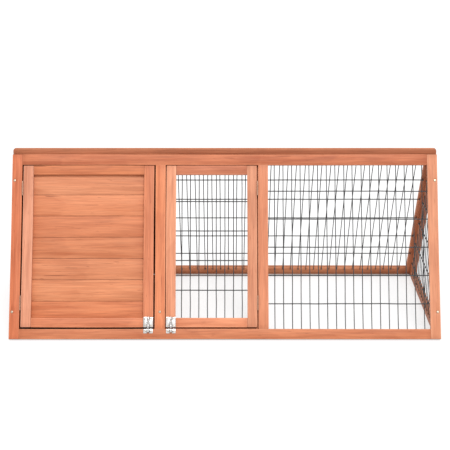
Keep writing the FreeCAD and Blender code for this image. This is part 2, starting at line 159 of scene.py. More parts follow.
def selectEdges(piece, wanted):
    # wanted(a, b) is asked of every edge's two ends; edit mode is left in edge select
    pickOnly(piece)
    startEdit()
    bpy.ops.mesh.select_mode(type="EDGE")
    bpy.ops.mesh.select_all(action="DESELECT")
    leaveEdit()
    points = piece.data.vertices
    for edge in piece.data.edges:
        a, b = (points[i].co for i in edge.vertices)
        edge.select = bool(wanted(a, b))
    startEdit()


def selectPoints(piece, wanted):
    pickOnly(piece)
    startEdit()
    bpy.ops.mesh.select_mode(type="VERT")
    bpy.ops.mesh.select_all(action="DESELECT")
    leaveEdit()
    for point in piece.data.vertices:
        point.select = bool(wanted(point.co))
    startEdit()


def sliceOff(piece, where, normal):
    # cuts away everything on the side that normal points to, and closes the cut
    pickOnly(piece)
    startEdit()
    bpy.ops.mesh.select_all(action="SELECT")
    bpy.ops.mesh.bisect(plane_co=where, plane_no=normal, use_fill=True, clear_outer=True)
    leaveEdit()


def joinAs(name, pieces):
    clearSelection()
    for piece in pieces:
        piece.select_set(True)
    bpy.context.view_layer.objects.active = pieces[0]
    if len(pieces) > 1:
        bpy.ops.object.join()
    whole = bpy.context.object
    nameAs(whole, name)
    return whole


def smooth(piece, degrees=32):
    pickOnly(piece)
    bpy.ops.object.shade_smooth_by_angle(angle=math.radians(degrees))


def outwards(piece):
    pickOnly(piece)
    startEdit()
    bpy.ops.mesh.select_all(action="SELECT")
    bpy.ops.mesh.normals_make_consistent(inside=False)
    leaveEdit()


# camera first

cameraView = {"place": (0.0, -3.1747, 1.3915), "down": 19.74, "lens": 92.93, "sensor": 36,
              "shiftX": 0.0004, "shiftY": -0.0002}


def setCamera():
    bpy.ops.object.camera_add(location=cameraView["place"],
                              rotation=(math.radians(90 - cameraView["down"]), 0, 0))
    camera = bpy.context.object
    camera.name = "studioCamera"
    camera.data.sensor_width = cameraView["sensor"]
    camera.data.lens = cameraView["lens"]
    camera.data.shift_x = cameraView["shiftX"]
    camera.data.shift_y = cameraView["shiftY"]
    bpy.context.scene.camera = camera


# shader groups

def addNode(tree, kind, inputs=None, **settings):
    made = tree.nodes.new(kind)
    for key, value in settings.items():
        setattr(made, key, value)
    for key, value in (inputs or {}).items():
        plug(tree, value, made.inputs[key])
    return made


def plug(tree, value, socket):
    # a socket is linked, and anything else is set on the input itself
    if isinstance(value, bpy.types.NodeSocket):
        tree.links.new(value, socket)
    else:
        socket.default_value = value


def maths(tree, operation, *values, clamp=False):
    made = addNode(tree, "ShaderNodeMath", operation=operation, use_clamp=clamp)
    for i, value in enumerate(values):
        plug(tree, value, made.inputs[i])
    return made.outputs[0]


def times(tree, first, second, clamp=False):
    return maths(tree, "MULTIPLY", first, second, clamp=clamp)


def timesPlus(tree, first, second, third):
    return maths(tree, "MULTIPLY_ADD", first, second, third)


def vectorMaths(tree, operation, first, second):
    made = addNode(tree, "ShaderNodeVectorMath", operation=operation)
    plug(tree, first, made.inputs[0])
    plug(tree, second, made.inputs[1])
    return made.outputs[0]


def remap(tree, value, low, high, toLow=0.0, toHigh=1.0):
    # a soft step from one range to another
    made = addNode(tree, "ShaderNodeMapRange", interpolation_type="SMOOTHSTEP", inputs={
        "Value": value, "From Min": low, "From Max": high, "To Min": toLow, "To Max": toHigh})
    return made.outputs["Result"]


def noise(tree, where, size, detail=3.0, roughness=0.55):
    made = addNode(tree, "ShaderNodeTexNoise", inputs={
        "Vector": where, "Scale": size, "Detail": detail, "Roughness": roughness})
    return made.outputs["Fac"]


def stretched(tree, where, factors):
    # squeezes the pattern's space, so that the pattern runs long where a factor is small
    return vectorMaths(tree, "MULTIPLY", where, factors)


def blendColour(tree, amount, first, second, kind="MIX"):
    made = addNode(tree, "ShaderNodeMix", data_type="RGBA", blend_type=kind, clamp_factor=True)
    plug(tree, amount, made.inputs[0])
    plug(tree, first, made.inputs[6])
    plug(tree, second, made.inputs[7])
    return made.outputs[2]


def newGroup(name, takes, gives):
    group = bpy.data.node_groups.new(name, "ShaderNodeTree")
    for label, kind, value in takes:
        socket = group.interface.new_socket(label, in_out="INPUT", socket_type=kind)
        if value is not None:
            socket.default_value = value
    for label, kind in gives:
        group.interface.new_socket(label, in_out="OUTPUT", socket_type=kind)
    entry = group.nodes.new("NodeGroupInput")
    leave = group.nodes.new("NodeGroupOutput")
    return group, entry.outputs, leave.inputs


def useGroup(tree, group, **values):
    made = addNode(tree, "ShaderNodeGroup", node_tree=group)
    for label, value in values.items():
        plug(tree, value, made.inputs[label])
    return made.outputs


def makeFirFigure():
    # growth rings round a pith that lies off the bar, streaks and fibres along it, and a few knots
    tree, entry, leave = newGroup(
        "firFigure",
        [("Grain", "NodeSocketVector", None), ("RingWidth", "NodeSocketFloat", 0.006),
         ("Waver", "NodeSocketFloat", 0.01), ("KnotShare", "NodeSocketFloat", 0.1)],
        [("Rings", "NodeSocketFloat"), ("Streaks", "NodeSocketFloat"), ("Clouds", "NodeSocketFloat"),
         ("Fibres", "NodeSocketFloat"), ("Knots", "NodeSocketFloat"), ("KnotRims", "NodeSocketFloat"),
         ("Flecks", "NodeSocketFloat"), ("Splits", "NodeSocketFloat")])
    grain = entry["Grain"]
    slow = stretched(tree, grain, (3.0, 14.0, 14.0))
    drift = addNode(tree, "ShaderNodeTexNoise", inputs={"Vector": slow, "Scale": 1.0, "Detail": 2.0})
    centred = vectorMaths(tree, "SUBTRACT", drift.outputs["Color"], (0.5, 0.5, 0.5))
    waver = addNode(tree, "ShaderNodeVectorMath", operation="SCALE", inputs={0: centred, 3: entry["Waver"]})
    bent = vectorMaths(tree, "ADD", grain, waver.outputs[0])
    # knots push the rings aside
    knotSpace = stretched(tree, bent, (5.0, 13.0, 13.0))
    cells = addNode(tree, "ShaderNodeTexVoronoi", feature="F1", inputs={
        "Vector": knotSpace, "Scale": 1.0, "Randomness": 0.9})
    picked = addNode(tree, "ShaderNodeSeparateColor", inputs={"Color": cells.outputs["Color"]})
    isKnot = maths(tree, "LESS_THAN", picked.outputs[0], entry["KnotShare"])
    near = remap(tree, cells.outputs["Distance"], 0.02, 0.42, 1.0, 0.0)
    push = times(tree, times(tree, near, isKnot), 0.012)
    core = remap(tree, cells.outputs["Distance"], 0.05, 0.085, 1.0, 0.0)
    rim = remap(tree, maths(tree, "ABSOLUTE", maths(tree, "SUBTRACT", cells.outputs["Distance"], 0.095)),
                0.0, 0.03, 1.0, 0.0)
    plug(tree, times(tree, core, isKnot), leave["Knots"])
    plug(tree, times(tree, rim, isKnot), leave["KnotRims"])
    parts = addNode(tree, "ShaderNodeSeparateXYZ", inputs={"Vector": bent})
    runOut = timesPlus(tree, parts.outputs[0], 0.035, parts.outputs[2])
    across = times(tree, parts.outputs[1], parts.outputs[1])
    through = times(tree, runOut, runOut)
    radius = maths(tree, "ADD", maths(tree, "SQRT", maths(tree, "ADD", across, through)), push)
    phase = maths(tree, "FRACT", maths(tree, "DIVIDE", radius, entry["RingWidth"]))
    late = times(tree, remap(tree, phase, 0.35, 0.9), remap(tree, phase, 0.93, 1.0, 1.0, 0.0))
    uneven = noise(tree, stretched(tree, bent, (3.0, 40.0, 40.0)), 1.0, 2.0)
    plug(tree, times(tree, late, remap(tree, uneven, 0.3, 0.7, 0.2, 1.0)), leave["Rings"])
    streakSpace = stretched(tree, bent, (4.5, 95.0, 95.0))
    plug(tree, remap(tree, noise(tree, streakSpace, 1.0, 4.0, 0.65), 0.34, 0.66), leave["Streaks"])
    cloudSpace = stretched(tree, bent, (3.4, 17.0, 17.0))
    plug(tree, remap(tree, noise(tree, cloudSpace, 1.0, 3.0, 0.6), 0.34, 0.66), leave["Clouds"])
    fibreSpace = stretched(tree, grain, (14.0, 520.0, 520.0))
    plug(tree, noise(tree, fibreSpace, 1.0, 3.0, 0.6), leave["Fibres"])
    fleckSpace = stretched(tree, grain, (38.0, 420.0, 420.0))
    plug(tree, remap(tree, noise(tree, fleckSpace, 1.0, 1.0, 0.5), 0.70, 0.78), leave["Flecks"])
    splitSpace = stretched(tree, bent, (7.0, 210.0, 210.0))
    plug(tree, remap(tree, noise(tree, splitSpace, 1.0, 1.0, 0.4), 0.755, 0.785), leave["Splits"])
    return tree


def makeEdgeNearness():
    # nearness to a bar's long edges and to its sawn ends, from its own place and half sizes
    tree, entry, leave = newGroup(
        "edgeRub",
        [("Place", "NodeSocketVector", None), ("Half", "NodeSocketVector", None),
         ("Width", "NodeSocketFloat", 0.003)],
        [("Edges", "NodeSocketFloat"), ("Ends", "NodeSocketFloat"), ("NearEnds", "NodeSocketFloat"),
         ("Joints", "NodeSocketFloat")])
    reach = addNode(tree, "ShaderNodeVectorMath", operation="ABSOLUTE", inputs={0: entry["Place"]})
    inside = vectorMaths(tree, "SUBTRACT", entry["Half"], reach.outputs[0])
    gaps = addNode(tree, "ShaderNodeSeparateXYZ", inputs={"Vector": inside})
    fromEnd, fromSide, fromFace = gaps.outputs[0], gaps.outputs[1], gaps.outputs[2]
    # the middle one of the three is how far the nearest edge is
    smaller = maths(tree, "MINIMUM", fromEnd, fromSide)
    larger = maths(tree, "MAXIMUM", fromEnd, fromSide)
    middle = maths(tree, "MAXIMUM", smaller, maths(tree, "MINIMUM", larger, fromFace))
    scatter = noise(tree, stretched(tree, entry["Place"], (60.0, 160.0, 160.0)), 1.0, 3.0)
    spread = maths(tree, "SUBTRACT", scatter, 0.5)
    ragged = timesPlus(tree, spread, entry["Width"], middle)
    worn = maths(tree, "DIVIDE", ragged, entry["Width"])
    plug(tree, remap(tree, worn, 0.15, 1.0, 1.0, 0.0), leave["Edges"])
    plug(tree, remap(tree, fromEnd, 0.0003, 0.0019, 1.0, 0.0), leave["Ends"])
    besideJoint = timesPlus(tree, spread, 0.0014, fromSide)
    filled = noise(tree, stretched(tree, entry["Place"], (22.0, 6.0, 6.0)), 1.0, 2.0)
    joint = remap(tree, besideJoint, 0.0, 0.0022, 1.0, 0.0)
    plug(tree, times(tree, joint, remap(tree, filled, 0.35, 0.6, 0.35, 1.0)), leave["Joints"])
    soft = timesPlus(tree, spread, 0.012, fromEnd)
    plug(tree, remap(tree, soft, 0.0, 0.016, 1.0, 0.0), leave["NearEnds"])
    return tree


def makeSurfaceDust():
    tree, entry, leave = newGroup(
        "surfaceDust",
        [("Where", "NodeSocketVector", None), ("Size", "NodeSocketFloat", 300.0)],
        [("Specks", "NodeSocketFloat"), ("Smears", "NodeSocketFloat")])
    fine = noise(tree, entry["Where"], entry["Size"], 4.0, 0.6)
    plug(tree, remap(tree, fine, 0.58, 0.74), leave["Specks"])
    wide = noise(tree, entry["Where"], times(tree, entry["Size"], 0.12), 3.0, 0.5)
    plug(tree, remap(tree, wide, 0.3, 0.7), leave["Smears"])
    return tree


firFigure = makeFirFigure()
edgeRub = makeEdgeNearness()
surfaceDust = makeSurfaceDust()


def newMaterial(name):
    material = bpy.data.materials.new(name)
    material.use_nodes = True
    tree = material.node_tree
    return material, tree, tree.nodes["Principled BSDF"]


stainedFir = {
    "frame": {"light": (0.545, 0.205, 0.098, 1), "dark": (0.335, 0.094, 0.036, 1), "ringWidth": 0.0065,
              "waver": 0.008, "knots": 0.03, "rough": 0.56, "paleEdge": 0.34, "darkJoint": 0.0},
    "board": {"light": (0.575, 0.226, 0.108, 1), "dark": (0.375, 0.112, 0.043, 1), "ringWidth": 0.0085,
              "waver": 0.012, "knots": 0.08, "rough": 0.60, "paleEdge": 0.06, "darkJoint": 0.62},
    "ridge": {"light": (0.44, 0.155, 0.073, 1), "dark": (0.27, 0.078, 0.032, 1), "ringWidth": 0.0060,
              "waver": 0.008, "knots": 0.02, "rough": 0.62, "paleEdge": 0.30, "darkJoint": 0.0},
}


def roughen(tree, skin, height, strength, deep):
    bump = addNode(tree, "ShaderNodeBump", inputs={"Height": height, "Strength": strength, "Distance": deep})
    plug(tree, bump.outputs[0], skin.inputs["Normal"])


def makeStainedFir(kind):
    look = stainedFir[kind]
    material, tree, skin = newMaterial("stainedFir_" + kind)
    grain, place, half, stain = (
        addNode(tree, "ShaderNodeAttribute", attribute_name=stamp).outputs["Vector"]
        for stamp in ("grainSpace", "barPlace", "barHalf", "stain"))
    contrast = addNode(tree, "ShaderNodeAttribute", attribute_name="contrast").outputs["Fac"]
    figure = useGroup(tree, firFigure, Grain=grain, RingWidth=look["ringWidth"], Waver=look["waver"],
                      KnotShare=look["knots"])
    nearEdge = useGroup(tree, edgeRub, Place=place, Half=half, Width=0.0035)
    # soft early wood against dark late wood, then streaks of stain
    pull = times(tree, figure["Rings"], 0.24)
    pull = timesPlus(tree, figure["Streaks"], 0.46, pull)
    pull = timesPlus(tree, figure["Clouds"], 0.26, pull)
    pull = times(tree, pull, contrast, clamp=True)
    colour = blendColour(tree, pull, look["light"], look["dark"])
    fibreTone = remap(tree, figure["Fibres"], 0.3, 0.7, 0.86, 1.10)
    grey = addNode(tree, "ShaderNodeCombineXYZ", inputs={0: fibreTone, 1: fibreTone, 2: fibreTone})
    colour = blendColour(tree, 1.0, colour, grey.outputs[0], "MULTIPLY")
    # edges are paler, partly handling wear and partly a painted highlight on their rounding; the seams
    # between boards are darker, partly stain gathered there and partly painted shade in the grooves; sawn
    # ends drink more of the stain
    for mask, strength, tint in (
            (figure["Flecks"], 0.45, (0.16, 0.042, 0.017, 1)),
            (figure["Splits"], 0.7, (0.13, 0.030, 0.012, 1)),
            (figure["KnotRims"], 0.55, (0.14, 0.036, 0.014, 1)),
            (figure["Knots"], 0.8, (0.21, 0.060, 0.024, 1)),
            (nearEdge["Edges"], look["paleEdge"], (0.70, 0.31, 0.17, 1)),
            (nearEdge["Joints"], look["darkJoint"], (0.17, 0.045, 0.017, 1)),
            (nearEdge["NearEnds"], 0.24, (0.25, 0.066, 0.025, 1)),
            (nearEdge["Ends"], 0.55, (0.20, 0.052, 0.020, 1))):
        colour = blendColour(tree, times(tree, mask, strength), colour, tint)
    # each bar took the stain in its own way
    colour = blendColour(tree, 1.0, colour, stain, "MULTIPLY")
    plug(tree, colour, skin.inputs["Base Color"])
    rough = timesPlus(tree, figure["Fibres"], 0.16, look["rough"] - 0.06)
    rough = timesPlus(tree, nearEdge["Ends"], 0.18, rough)
    rough = timesPlus(tree, figure["Rings"], -0.06, rough)
    plug(tree, rough, skin.inputs["Roughness"])
    skin.inputs["Specular IOR Level"].default_value = 0.30
    height = times(tree, figure["Rings"], 0.6)
    for mark, rises in (("Fibres", 0.5), ("Flecks", -0.8), ("Knots", -0.7), ("Splits", -1.2)):
        height = timesPlus(tree, figure[mark], rises, height)
    roughen(tree, skin, height, 0.35, 0.0006)
    return material


def makeWireCoat():
    # black dipped coating over welded wire, thin and a little grey where it has been rubbed
    material, tree, skin = newMaterial("blackDippedWire")
    where = addNode(tree, "ShaderNodeTexCoord").outputs["Object"]
    dust = useGroup(tree, surfaceDust, Where=where, Size=420.0)
    colour = blendColour(tree, times(tree, dust["Smears"], 0.5), (0.012, 0.012, 0.014, 1),
                         (0.032, 0.031, 0.032, 1))
    colour = blendColour(tree, times(tree, dust["Specks"], 0.35), colour, (0.09, 0.085, 0.08, 1))
    plug(tree, colour, skin.inputs["Base Color"])
    plug(tree, timesPlus(tree, dust["Smears"], 0.18, 0.30), skin.inputs["Roughness"])
    roughen(tree, skin, dust["Specks"], 0.4, 0.0002)
    return material


platedSteel = {
    "brightZinc": {"light": (0.66, 0.645, 0.63, 1), "dark": (0.26, 0.25, 0.24, 1), "rough": 0.25,
                   "corners": 0.004},
    "dullHinge": {"light": (0.40, 0.235, 0.165, 1), "dark": (0.20, 0.105, 0.07, 1), "rough": 0.42,
                  "corners": 0.003},
    "darkStaple": {"light": (0.20, 0.165, 0.14, 1), "dark": (0.08, 0.062, 0.052, 1), "rough": 0.45,
                   "corners": 0.002},
    "screwZinc": {"light": (0.66, 0.54, 0.42, 1), "dark": (0.34, 0.25, 0.18, 1), "rough": 0.34,
                  "corners": 0.002},
}


def makePlatedSteel(kind):
    look = platedSteel[kind]
    material, tree, skin = newMaterial(kind)
    where = addNode(tree, "ShaderNodeTexCoord").outputs["Object"]
    dust = useGroup(tree, surfaceDust, Where=where, Size=900.0)
    brushed = noise(tree, stretched(tree, where, (4000.0, 260.0, 260.0)), 1.0, 2.0)
    tarnish = times(tree, dust["Specks"], 0.4)
    tarnish = timesPlus(tree, dust["Smears"], 0.30, tarnish)
    colour = blendColour(tree, tarnish, look["light"], look["dark"])
    # painted shade: an ambient occlusion node darkens the colour in the corners between sheet, strap and
    # screw heads, where shade falls
    shelter = addNode(tree, "ShaderNodeAmbientOcclusion", samples=6, inputs={"Distance": look["corners"]})
    paintedCornerShade = remap(tree, shelter.outputs["AO"], 0.45, 0.95, 1.0, 0.0)
    colour = blendColour(tree, paintedCornerShade, colour, [c * 0.12 for c in look["dark"][:3]] + [1])
    plug(tree, colour, skin.inputs["Base Color"])
    skin.inputs["Metallic"].default_value = 0.9
    rough = timesPlus(tree, brushed, 0.16, look["rough"] - 0.05)
    plug(tree, timesPlus(tree, dust["Specks"], 0.2, rough), skin.inputs["Roughness"])
    roughen(tree, skin, brushed, 0.18, 0.0001)
    return material


firFrame, firBoard, firRidge = (makeStainedFir(kind) for kind in ("frame", "board", "ridge"))
wireCoat = makeWireCoat()
brightZinc, dullHinge, screwZinc, darkStaple = (
    makePlatedSteel(kind) for kind in ("brightZinc", "dullHinge", "screwZinc", "darkStaple"))
print("materials made")


# timber

timber = {"edge": 0.0011, "boardEdge": 0.0012, "ringEvery": 0.07, "bow": 0.0006, "seed": 41}
chance = random.Random(timber["seed"])
panelReach = flatBox("front_left_stile", frontLean)[1].y

# how each bar that catches the eye took the stain: red, green and blue, then depth of figure
stainOf = {
    "ridge_board": (0.95, 0.94, 0.94, 1.10),
    "front_top_rail": (0.91, 0.79, 0.76, 1.25),
    "front_bottom_rail": (0.94, 0.87, 0.82, 1.10),
    "front_left_stile": (1.01, 0.80, 0.72, 1.10),
    "front_house_stile": (1.16, 1.07, 1.02, 0.90),
    "front_run_stile": (1.07, 1.08, 1.17, 0.90),
    "front_right_stile": (1.06, 1.18, 1.34, 0.70),
    "house_door_hinge_stile": (1.07, 1.21, 1.50, 1.00),
    "house_door_latch_stile": (1.00, 0.90, 0.91, 1.00),
    "run_door_latch_stile": (1.19, 1.35, 1.59, 0.90),
    "run_door_hinge_stile": (1.02, 1.15, 1.36, 0.90),
    "house_door_top_rail": (0.91, 0.78, 0.67, 1.00),
    "house_door_bottom_rail": (1.05, 0.96, 0.95, 1.00),
    "run_door_top_rail": (0.91, 0.84, 0.90, 1.00),
    "run_door_bottom_rail": (1.14, 1.14, 1.20, 1.00),
    "house_door_board_1": (1.05, 1.08, 1.15, 0.80),
    "house_door_board_2": (1.03, 0.98, 0.97, 1.00),
    "house_door_board_3": (0.90, 0.79, 0.75, 0.90),
    "house_door_board_4": (0.93, 0.86, 0.82, 1.10),
    "house_door_board_5": (0.95, 0.91, 0.90, 0.90),
    "house_door_board_6": (1.01, 0.99, 0.97, 1.00),
    "house_door_board_7": (0.97, 0.83, 0.74, 1.20),
}


def stampGrain(piece, lean, along, stain):
    # writes where each point lies in its own bar, with the grain along the first number
    order = {"x": (0, 1, 2), "y": (1, 0, 2), "z": (2, 0, 1)}[along]
    back = lean.inverted()
    points = [back @ v.co for v in piece.data.vertices]
    low = [min(p[i] for p in points) for i in order]
    high = [max(p[i] for p in points) for i in order]
    middle = [(a + b) / 2 for a, b in zip(low, high)]
    half = [(b - a) / 2 for a, b in zip(low, high)]
    # where the middle of the tree lies from this bar
    pith = (chance.uniform(1, 60), chance.uniform(-0.05, 0.05),
            chance.choice((-1, 1)) * chance.uniform(0.012, 0.06))
    values = {"grainSpace": [], "barPlace": [], "barHalf": [], "stain": []}
    for p in points:
        place = [p[i] - m for i, m in zip(order, middle)]
        values["barPlace"] += place
        values["grainSpace"] += [a + b for a, b in zip(place, pith)]
        values["barHalf"] += half
        values["stain"] += stain[:3]
    for name, numbers in values.items():
        made = piece.data.attributes.new(name, "FLOAT_VECTOR", "POINT")
        made.data.foreach_set("vector", numbers)
    made = piece.data.attributes.new("contrast", "FLOAT", "POINT")
    made.data.foreach_set("value", [stain[3]] * len(points))


def finishBar(bar, lean, along, stain):
    stampGrain(bar, lean, along, stain)
    smooth(bar)


def pickStain(node):
    if node in stainOf:
        return stainOf[node]
    strength = chance.uniform(0.90, 1.03)
    warmth = chance.uniform(0.95, 1.03)
    return (strength, strength * warmth, strength * warmth, chance.uniform(0.85, 1.15))


def rawBar(low, high, along):
    # a sawn length with rings of points along it
    clearSelection()
    bpy.ops.mesh.primitive_cube_add(size=1, location=(low + high) / 2, scale=high - low)
    bar = justAdded()
    axis = "xyz".index(along)
    reach = high[axis] - low[axis]
    cuts = int(reach / timber["ringEvery"])
    if cuts:
        selectEdges(bar, lambda a, b: abs(a[axis] - b[axis]) > reach * 0.9)
        bpy.ops.mesh.subdivide(number_cuts=cuts)
        leaveEdit()
    return bar


def bowBar(bar, low, high, along, amount):
    # pushes the middle of a long bar a little aside, as a dried length of fir lies
    axis = "xyz".index(along)
    middle = (low[axis] + high[axis]) / 2
    reach = high[axis] - low[axis]
    ring = reach / (int(reach / timber["ringEvery"]) + 1)
    selectPoints(bar, lambda p: abs(p[axis] - middle) < ring * 0.55)
    aside = 1 if axis == 0 else 0
    turn = chance.choice((-1, 1))
    # bars on the outline bow inwards, so that the hutch keeps its size
    outline = ((cadBox[0].x, cadBox[1].x), (0, panelReach))[aside]
    if low[aside] < outline[0] + timber["edge"]:
        turn = 1
    if high[aside] > outline[1] - timber["edge"]:
        turn = -1
    push = [0, 0, 0]
    push[aside] = turn * amount
    bpy.ops.transform.translate(value=push, use_proportional_edit=True, proportional_edit_falloff="SMOOTH",
                                proportional_size=reach * 0.45)
    leaveEdit()


def modify(piece, kind, **settings):
    modifier = piece.modifiers.new(kind.lower(), kind)
    for key, value in settings.items():
        setattr(modifier, key, value)
    applyModifiers(piece)


def roundEdges(piece, width, segments=2):
    modify(piece, "BEVEL", width=width, segments=segments, limit_method="ANGLE", angle_limit=math.radians(35))


def settle(piece, body, nodes, material):
    # last steps of every piece: its finish, the body it rides on and the CAD nodes it stands for
    piece.data.materials.clear()
    piece.data.materials.append(material)
    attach(piece, body)
    if nodes:
        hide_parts(*nodes)


def bodyOf(node):
    return frame["nodes"][node]["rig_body"]


def settleFrameBar(bar, node, lean, along):
    nameAs(bar, pieceName(node))
    finishBar(bar, lean, along, pickStain(node))
    settle(bar, bodyOf(node), [node], firFrame)


def takeAway(piece, cutter):
    modify(piece, "BOOLEAN", operation="DIFFERENCE", object=cutter)
    bpy.data.objects.remove(cutter)


def cutAway(piece, low, high):
    clearSelection()
    bpy.ops.mesh.primitive_cube_add(size=1, location=(low + high) / 2, scale=high - low)
    takeAway(piece, bpy.context.object)


def drillHoles(piece, holes):
    # holes are (x, y, z, radius, depth) on the bench, sunk from above
    for x, y, z, radius, depth in holes:
        clearSelection()
        bpy.ops.mesh.primitive_cylinder_add(vertices=24, radius=radius, depth=2 * depth, location=(x, y, z))
        takeAway(piece, bpy.context.object)


def looseBoxes(node, lean):
    # the bench boxes of a node's separate solids
    source = frame["nodes"][node]
    copied = bpy.data.objects.new("looseCopy", source.data.copy())
    bpy.context.scene.collection.objects.link(copied)
    pickOnly(copied)
    startEdit()
    bpy.ops.mesh.select_all(action="SELECT")
    bpy.ops.mesh.remove_doubles(threshold=0.00001)
    bpy.ops.mesh.separate(type="LOOSE")
    leaveEdit()
    back = lean.inverted()
    boxes = []
    for part in list(bpy.context.selected_objects):
        points = [back @ v.co for v in part.data.vertices]
        low = Vector(min(p[i] for p in points) for i in range(3))
        high = Vector(max(p[i] for p in points) for i in range(3))
        boxes.append((low, high))
        bpy.data.objects.remove(part)
    return sorted(boxes, key=lambda box: (round(box[0].x, 4), round(box[0].y, 4)))


def panelScrewSpots(lean):
    # the sunk screws of one panel stand square to it, with their heads at its face
    spots = []
    for low, high in looseBoxes("panel_screws", lean):
        if abs(high.z) < 0.0005 and high.z - low.z > 0.025:
            spots.append(((low.x + high.x) / 2, (low.y + high.y) / 2))
    return spots


screwRecess = {"radius": 0.0039, "depth": 0.0016}
screwSpots = {"front": panelScrewSpots(frontLean), "rear": panelScrewSpots(rearLean)}


def panelBar(node, lean, along):
    low, high = flatBox(node, lean)
    bar = rawBar(low, high, along)
    if high["xyz".index(along)] - low["xyz".index(along)] > 0.2:
        bowBar(bar, low, high, along, timber["bow"])
    spots = screwSpots["rear" if lean is rearLean else "front"]
    holes = [(x, y, high.z, screwRecess["radius"], screwRecess["depth"])
             for x, y in spots if low.x < x < high.x and low.y < y < high.y]
    drillHoles(bar, holes)
    roundEdges(bar, timber["edge"])
    leanInto(bar, lean)
    settleFrameBar(bar, node, lean, along)


def makePanelFrames():
    for prefix in ("front", "rear", "house_door", "run_door"):
        lean = rearLean if prefix == "rear" else frontLean
        names = [n for n in frame["nodes"] if n.startswith(prefix) and n.endswith(("_stile", "_rail"))]
        for node in sorted(names):
            panelBar(node, lean, "x" if node.endswith("_rail") else "y")


doorStop = {"relief": 0.001, "lap": 0.006}


def makeDoorStops():
    # strips behind the edge of the run door, cut back so that the door clears them
    low, high = flatBox("run_door_stops", frontLean)
    latch, hinge = flatBox("run_door_latch_stile", frontLean), flatBox("run_door_hinge_stile", frontLean)
    left, right = latch[0].x + doorStop["lap"], hinge[1].x - doorStop["lap"]
    foot, head = latch[0].y + doorStop["lap"], latch[1].y - doorStop["lap"]
    strips = []
    for axis, way, spanX, spanY, edge in (
            (0, 1, (low.x, left), (low.y, high.y), flatBox("front_house_stile", frontLean)[1].x),
            (0, -1, (right, high.x), (low.y, high.y), flatBox("front_run_stile", frontLean)[0].x),
            (1, 1, (left, right), (low.y, foot), flatBox("front_bottom_rail", frontLean)[1].y),
            (1, -1, (left, right), (head, high.y), flatBox("front_top_rail", frontLean)[0].y)):
        stripLow = Vector((spanX[0], spanY[0], low.z))
        stripHigh = Vector((spanX[1], spanY[1], high.z))
        along = "y" if axis == 0 else "x"
        strip = rawBar(stripLow, stripHigh, along)
        cutLow = stripLow - Vector((0.01, 0.01, 0))
        cutHigh = stripHigh + Vector((0.01, 0.01, 0.01))
        cutLow.z = high.z - doorStop["relief"]
        if way > 0:
            cutLow[axis] = edge
        else:
            cutHigh[axis] = edge
        cutAway(strip, cutLow, cutHigh)
        roundEdges(strip, timber["edge"] * 0.5)
        leanInto(strip, frontLean)
        finishBar(strip, frontLean, along, pickStain("run_door_stops"))
        strips.append(strip)
    settle(joinAs(pieceName("run_door_stops"), strips), "hutch", ["run_door_stops"], firFrame)


def slopingBoard(low, high, lean, stain):
    board = rawBar(low, high, "x")
    roundEdges(board, timber["boardEdge"])
    leanInto(board, lean)
    finishBar(board, lean, "x", stain)
    return board


def makeBoards():
    for node in sorted(n for n in frame["nodes"] if n.startswith("house_door_board_")):
        board = slopingBoard(*flatBox(node, frontLean), frontLean, pickStain(node))
        nameAs(board, pieceName(node))
        settle(board, "house_door", [node], firBoard)
    boards = [slopingBoard(low, high, rearLean, pickStain("rear_wall_boards"))
              for low, high in looseBoxes("rear_wall_boards", rearLean)]
    settle(joinAs("rearWallBoards", boards), "hutch", ["rear_wall_boards"], firBoard)


def crossBoards(node):
    # level boards across a gable, cut to the slope of the panels by their own outline
    boards = []
    for low, high in looseBoxes(node, upright):
        board = rawBar(low, high, "y")
        for side, lean in ((-1, frontLean), (1, rearLean)):
            onFace = lean @ Vector((0, 0, -panelThick))
            outward = lean.to_3x3() @ Vector((0, 0, 1))
            if side * high.y > 0 and side > 0 or side * low.y > 0 and side < 0:
                sliceOff(board, onFace, outward)
        roundEdges(board, timber["boardEdge"])
        finishBar(board, upright, "y", pickStain(node))
        boards.append(board)
    settle(joinAs(pieceName(node), boards), "hutch", [node], firBoard)


def crossFrame(prefix):
    ridgeLow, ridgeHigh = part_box("ridge_board")
    for side, lean in (("front", frontLean), ("rear", rearLean)):
        node = prefix + "_" + side + "_leg"
        low, high = flatBox(node, lean)
        leg = rawBar(low, high, "y")
        leanInto(leg, lean)
        sliceOff(leg, (0, 0, 0), (0, 0, -1))
        sliceOff(leg, (0, 0, 0), (0, 1 if side == "front" else -1, 0))
        cutAway(leg, ridgeLow - Vector((0.02, 0, 0)), ridgeHigh + Vector((0.02, 0, 0.02)))
        roundEdges(leg, timber["edge"])
        settleFrameBar(leg, node, lean, "y")
    node = prefix + "_sill"
    low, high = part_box(node)
    sill = rawBar(low, high, "y")
    footInside = flatBox(prefix + "_front_leg", frontLean)[0].z
    for lean in (frontLean, rearLean):
        sliceOff(sill, lean @ Vector((0, 0, footInside)), lean.to_3x3() @ Vector((0, 0, 1)))
    roundEdges(sill, timber["edge"])
    settleFrameBar(sill, node, upright, "y")


ridge = {"cornerRadius": 0.008, "cornerSteps": 5}


def makeRidge():
    low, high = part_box("ridge_board")
    board = rawBar(low, high, "x")
    selectEdges(board, lambda a, b: abs(abs(a.x) - high.x) < 1e-5 and abs(abs(b.x) - high.x) < 1e-5
                and a.z > high.z - 1e-5 and b.z > high.z - 1e-5)
    bpy.ops.mesh.bevel(offset=ridge["cornerRadius"], segments=ridge["cornerSteps"])
    leaveEdit()
    roundEdges(board, timber["edge"])
    nameAs(board, "ridgeBoard")
    finishBar(board, upright, "x", pickStain("ridge_board"))
    settle(board, "hutch", ["ridge_board"], firRidge)


# welded wire

wire = {"radius": 0.00125, "rowRadius": 0.0015, "sides": 8, "stepEvery": 0.05, "waver": 0.00024,
        "stray": 0.0009, "lap": 0.005, "sink": 0.0003, "drop": 1.25, "dropFlat": 0.8}
